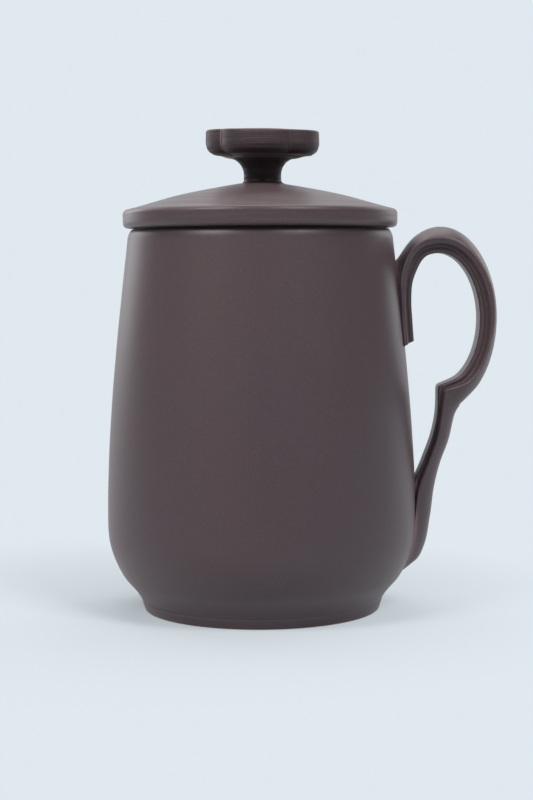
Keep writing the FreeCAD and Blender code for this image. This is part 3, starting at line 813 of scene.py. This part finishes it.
    def bed_in_slip(self, mesh, wall_radius, reach):
        """Spread the strap where it meets the wall, as smoothed slip does."""
        moved = []
        for vertex in mesh.vertices:
            place, normal = vertex.co, vertex.normal
            radial = Vector((place.x, place.y, 0)).normalized()
            gap = math.hypot(place.x, place.y) - wall_radius(place.z)
            along = normal - radial * normal.dot(radial)
            along.z *= 0.3 if along.z < 0 else 1.0  # hardly any under the strap
            spread = reach * 0.45 * max(0.0, 1.0 - max(gap, 0.0) / reach) ** 2
            moved.append(place + along * spread)
        for vertex, place in zip(mesh.vertices, moved):
            vertex.co = place
        mesh.update()


class TEAMUG_OT_lid(bpy.types.Operator):
    """Make the domed lid and its collar"""

    bl_idname = "tea_mug.lid"
    bl_label = "Lid"

    def execute(self, context):
        scene = context.scene
        sizes = scene.tea_mug_sizes
        under, top = LID[0][2], LID[1][2]
        radius, rise = LID[1][0], top - under
        band_top = under + sizes.lid_band
        shoulder = radius - sizes.lid_corner * 0.75, band_top + sizes.lid_corner * 0.95
        land = scene.tea_mug_knob.stem + STEM_SPREAD
        dome = spline([
            shoulder, (radius * 0.838, under + rise * 0.522),
            (radius * 0.671, under + rise * 0.706), (radius * 0.431, under + rise * 0.857),
            (land, top),
        ], (0, 1, 2), count=90)
        hollow_radius = COLLAR[1][0] - sizes.collar_thick
        ceiling = top - sizes.lid_thick
        hollow = spline([
            (0, ceiling), (hollow_radius * 0.31, ceiling),
            (hollow_radius * 0.72, ceiling - rise * 0.22),
            (hollow_radius * 0.96, ceiling - rise * 0.40), (hollow_radius, under),
        ], (0, 1, 2), count=50)
        corner = arc_points((radius, band_top), shoulder, sizes.lid_corner, 1, 14)
        edge = eased([
            (hollow_radius, under, 0), (radius, under, sizes.lid_edge), (*corner[0], 0),
        ])
        outline = [*hollow, *filled(edge, 0.0008)[1:], *corner[1:], *dome[1:], (0, top)]
        points, faces = turned(outline, sizes.segments, False, wavering(sizes.waver * 0.5))
        material = clay("lid_clay", scene.tea_mug_clay, rougher=-0.02, marks=0.7)
        add_piece("domed_lid", points, faces, material, "lid", "lid_plate")
        finish_node("lid_collar", clay("burnished_clay", scene.tea_mug_clay, marks=0.04))
        return {"FINISHED"}


class TEAMUG_OT_knob(bpy.types.Operator):
    """Make the lobed knob with its flare and stem"""

    bl_idname = "tea_mug.knob"
    bl_label = "Knob"

    def execute(self, context):
        scene = context.scene
        sizes = scene.tea_mug_knob
        top = KNOB[1][2] - sizes.worn
        under = top - sizes.head
        outline = filled(self.outline(sizes, under, top), 0.0004)
        points, rows, painted_glint = self.lobed(sizes, outline)
        faces = ring_faces(rows, False) + [rows[-1]]
        # painted shade under the head, over the flare and stem
        under_head_shade = under, under + 0.003, (0.36, 0.32, 0.36)
        material = clay(
            "knob_clay", scene.tea_mug_clay, tint=0.82, rougher=0.1, marks=2.2,
            fades=[under_head_shade], shine=0.25)
        add_piece("lobed_knob", points, faces, material, "lid", "lid_knob", painted_glint=painted_glint)
        return {"FINISHED"}

    def outline(self, sizes, under, top):
        """From the top's middle out over a lobe's middle and down to the stem's foot."""
        foot, neck = KNOB[0][2], under - 0.0010
        stem, reach, edge, curve = sizes.stem, sizes.reach, sizes.edge, sizes.flare
        flare = arc_points((stem + curve, neck), (stem, neck - curve), curve, 1, 20)
        spread = arc_points(
            (stem, foot + STEM_SPREAD), (stem + STEM_SPREAD, foot), STEM_SPREAD, 1, 9)
        head = eased([
            (0, top, 0), (reach * 0.5, top, 0.004), (reach - 0.0001, top, edge),
            (reach, under + 0.0030, 0.0004), (reach - 0.0006, under + 0.0001, edge * 3.2),
            (reach * 0.8, under - 0.0001, 0.0012), (*flare[0], 0.0),
        ])
        return [*head, *flare[1:], *spread]

    def lobed(self, sizes, outline):
        """Points, rows and painted highlight of the turned outline, with its head drawn into four
        lobes.
        """
        middle = (KNOB[0][0] + KNOB[1][0]) / 2
        stem, reach = sizes.stem, sizes.reach
        side = sizes.crease * math.sqrt(0.5)
        swell = reach - side
        lobe = (side ** 2 + swell ** 2) / (2 * swell)
        lobe_centre = reach - lobe
        across_lobe = np.linspace(-math.pi / 2, math.pi / 2, LOBE_STEPS + 1)[:-1]
        turns = np.sin(across_lobe) * math.pi / 4  # closer together at the creases
        # the second width is how far the painted highlight spreads from each crease
        line_width, glint_width, tool_depth = 0.013, 0.022, 0.00003
        points, rows, painted_glint = [], [], []
        for radius, height in outline:
            if radius < ON_AXIS:
                rows.append([len(points)])
                points.append((middle, 0, height))
                painted_glint.append(0.0)
                continue
            lobed = clipped((radius - stem * 1.02) / (reach - stem * 1.4))
            row = []
            for quarter, turn in [(quarter, turn) for quarter in range(4) for turn in turns]:
                angle = turn + quarter * math.pi / 2 + sizes.turn
                swing = lobe_centre * math.cos(turn)
                full = swing + math.sqrt(lobe ** 2 - (lobe_centre * math.sin(turn)) ** 2)
                bulge = 1.0 + (full / reach - 1.0) * lobed
                off_crease = abs(turn) - math.pi / 4
                line = sizes.line * math.exp(-(off_crease / line_width) ** 2) * min(1.0, lobed * 4)
                fine = math.sin(7000 * height + 2 * math.sin(3 * angle))
                marks = fine * math.sin(2300 * height + angle)
                out = radius * bulge + line + tool_depth * marks * lobed
                across = out * math.cos(angle)
                dip = sizes.droop * (out * math.sin(angle) / reach) ** 2
                drop = (math.tan(sizes.tilt) * (across + reach) + dip) * lobed
                row.append(len(points))
                points.append((middle + across, out * math.sin(angle), height - drop))
                near_left = quarter == 2 and turn > 0 or quarter == 3 and turn < 0
                glint_share = 1.0 if near_left else 0.15  # one crease gets a stronger painted highlight than the others
                painted_glint.append(math.exp(-(off_crease / glint_width) ** 2) * glint_share * min(1.0, lobed * 6))
            rows.append(row)
        return points, rows, painted_glint


class TEAMUG_OT_infuser(bpy.types.Operator):
    """Finish the infuser's drained wall, base and flange"""

    bl_idname = "tea_mug.infuser"
    bl_label = "Infuser"

    def execute(self, context):
        look = context.scene.tea_mug_clay
        material = clay("infuser_clay", look, tint=1.08, rougher=0.04)
        for name in ("infuser_wall", "infuser_flange", "infuser_base"):
            finish_node(name, material)
        return {"FINISHED"}


class TEAMUG_OT_stage(bpy.types.Operator):
    """Make the floor with its swept-up backdrop, the lamps and the camera"""

    bl_idname = "tea_mug.stage"
    bl_label = "Stage"

    def execute(self, context):
        scene = context.scene
        look = scene.tea_mug_stage
        self.floor(scene, look)
        self.lamps(scene)
        self.world(scene, look)
        self.camera(scene, look)
        scene.view_settings.view_transform = "Standard"
        return {"FINISHED"}

    def floor(self, scene, look):
        """A level floor that sweeps up into a backdrop."""
        half, front, bend, back, high = 2.4, -1.6, 0.5, 1.1, 1.8
        bend_steps = 12
        path = [(front, 0.0)]
        for step in range(bend_steps + 1):
            angle = math.radians(90 / bend_steps * step)
            path.append((back + bend * math.sin(angle), bend - bend * math.cos(angle)))
        path.append((back + bend, high))
        points = [(side * half, y, z) for y, z in path for side in (-1, 1)]
        faces = [(i, i + 1, i + 3, i + 2) for i in range(0, len(points) - 2, 2)]
        mesh = bpy.data.meshes.new("floor_sweep")
        mesh.from_pydata(points, [], faces)
        mesh.shade_smooth()
        floor = bpy.data.objects.new("floor_sweep", mesh)
        scene.collection.objects.link(floor)
        mesh.materials.append(self.floor_material(look))

    def floor_material(self, look):
        """The backdrop's even pale colour, giving way to the lit floor round the mug's foot."""
        shade_middle, shade_reach, shade_least = (-0.03, 0.01, 0.0), 0.13, 0.1
        lit_tint = 0.73
        material = bpy.data.materials.new("pale_floor")
        material.use_nodes = True
        nodes, links = material.node_tree.nodes, material.node_tree.links
        nodes.clear()
        rays = nodes.new("ShaderNodeLightPath")
        seen = rays.outputs["Is Camera Ray"]
        for other in ("Is Glossy Ray", "Is Transmission Ray"):
            either = nodes.new("ShaderNodeMath")
            either.operation = "MAXIMUM"
            links.new(seen, either.inputs[0])
            links.new(rays.outputs[other], either.inputs[1])
            seen = either.outputs[0]
        place = nodes.new("ShaderNodeTexCoord")
        away = nodes.new("ShaderNodeVectorMath")
        away.operation = "DISTANCE"
        away.inputs[1].default_value = shade_middle
        links.new(place.outputs["Object"], away.inputs[0])
        distance = away.outputs["Value"]
        glowing = ranged(nodes, links, distance, 0.0, shade_reach, shade_least, 1.0)
        part = nodes.new("ShaderNodeMath")
        part.operation = "MULTIPLY"
        links.new(seen, part.inputs[0])
        links.new(glowing, part.inputs[1])
        lit = nodes.new("ShaderNodeBsdfDiffuse")
        lit.inputs["Color"].default_value = (*[channel * lit_tint for channel in look.floor], 1.0)
        glow = nodes.new("ShaderNodeEmission")
        glow.inputs["Color"].default_value = (*look.floor, 1.0)
        mix = nodes.new("ShaderNodeMixShader")
        links.new(part.outputs[0], mix.inputs[0])
        links.new(lit.outputs[0], mix.inputs[1])
        links.new(glow.outputs[0], mix.inputs[2])
        output = nodes.new("ShaderNodeOutputMaterial")
        links.new(mix.outputs[0], output.inputs["Surface"])
        return material

    def lamps(self, scene):
        """Two boxes high in front, two lower behind to the sides, one overhead, one far behind."""
        middle = Vector((0, 0, 0.07))
        boxes = [
            ("front_left_box", (-0.88, -0.8, 1.3), 0.5, 0.6, 17.5),
            ("front_right_box", (0.70, -0.82, 1.3), 0.5, 0.6, 12.0),
            ("left_box", (-0.8, 0.8, 0.5), 0.5, 0.8, 3.0),
            ("right_box", (0.8, 0.8, 0.5), 0.5, 0.8, 1.6),
            ("top_box", (0.0, 0.45, 1.1), 0.9, 0.7, 5.0),
            ("back_box", (0.0, 1.2, 0.8), 1.6, 0.5, 0.6),
        ]
        for name, place, wide, tall, power in boxes:
            lamp = bpy.data.lights.new(name, "AREA")
            lamp.shape = "RECTANGLE"
            lamp.size, lamp.size_y, lamp.energy = wide, tall, power
            holder = bpy.data.objects.new(name, lamp)
            holder.location = place
            holder.rotation_euler = (middle - Vector(place)).to_track_quat("-Z", "Y").to_euler()
            scene.collection.objects.link(holder)

    def world(self, scene, look):
        """Soft light from all round; past the backdrop, the camera sees its colour."""
        air = 0.25
        world = bpy.data.worlds.new("studio_air")
        scene.world = world
        world.use_nodes = True
        nodes, links = world.node_tree.nodes, world.node_tree.links
        background = nodes["Background"]
        background.inputs["Color"].default_value = (*look.floor, 1.0)
        seen = nodes.new("ShaderNodeLightPath").outputs["Is Camera Ray"]
        strength = ranged(nodes, links, seen, 0.0, 1.0, air, 1.0)
        links.new(strength, background.inputs["Strength"])

    def camera(self, scene, look):
        """The photograph's view of the mug."""
        pitch, yaw, roll = look.camera_pitch, look.camera_yaw, look.camera_roll
        flat = math.cos(pitch)
        ahead = Vector((math.sin(yaw) * flat, math.cos(yaw) * flat, -math.sin(pitch)))
        level = ahead.cross(Vector((0, 0, 1))).normalized()
        upright = level.cross(ahead)
        right = level * math.cos(roll) + upright * math.sin(roll)
        above = upright * math.cos(roll) - level * math.sin(roll)
        lens = bpy.data.cameras.new("photo_view")
        lens.sensor_fit = "AUTO"
        lens.sensor_width = 36.0
        lens.lens = look.lens
        lens.clip_start = 0.01
        camera = bpy.data.objects.new("photo_view", lens)
        turn = Matrix((right, above, -ahead)).transposed().to_4x4()
        camera.matrix_world = Matrix.Translation((0, -look.camera_back, look.camera_up)) @ turn
        scene.collection.objects.link(camera)
        scene.camera = camera


class TEAMUG_PT_sidebar(bpy.types.Panel):
    """Sizes, clay and pieces of the tea mug"""

    bl_idname = "TEAMUG_PT_sidebar"
    bl_label = "Tea mug"
    bl_space_type = "VIEW_3D"
    bl_region_type = "UI"
    bl_category = "Tea mug"

    def draw(self, context):
        layout = self.layout
        for name in GROUPS:
            group = getattr(context.scene, name)
            box = layout.box()
            for prop in group.__annotations__:
                box.prop(group, prop)
        for operator in OPERATORS:
            layout.operator(operator.bl_idname)


GROUPS = {
    "tea_mug_sizes": MugSizes,
    "tea_mug_handle": HandleSizes,
    "tea_mug_knob": KnobSizes,
    "tea_mug_clay": ClayLook,
    "tea_mug_stage": StageLook,
}
OPERATORS = (
    TEAMUG_OT_stage,
    TEAMUG_OT_wall,
    TEAMUG_OT_foot,
    TEAMUG_OT_handle,
    TEAMUG_OT_infuser,
    TEAMUG_OT_lid,
    TEAMUG_OT_knob,
)
CLASSES = (*GROUPS.values(), *OPERATORS, TEAMUG_PT_sidebar)


def register():
    for kind in CLASSES:
        bpy.utils.register_class(kind)
    for name, group in GROUPS.items():
        setattr(bpy.types.Scene, name, PointerProperty(type=group))


def unregister():
    for name in GROUPS:
        delattr(bpy.types.Scene, name)
    for kind in reversed(CLASSES):
        bpy.utils.unregister_class(kind)


def main():
    register()
    for operator in OPERATORS:
        group, name = operator.bl_idname.split(".")
        getattr(getattr(bpy.ops, group), name)()


if __name__ == "__main__":
    main()
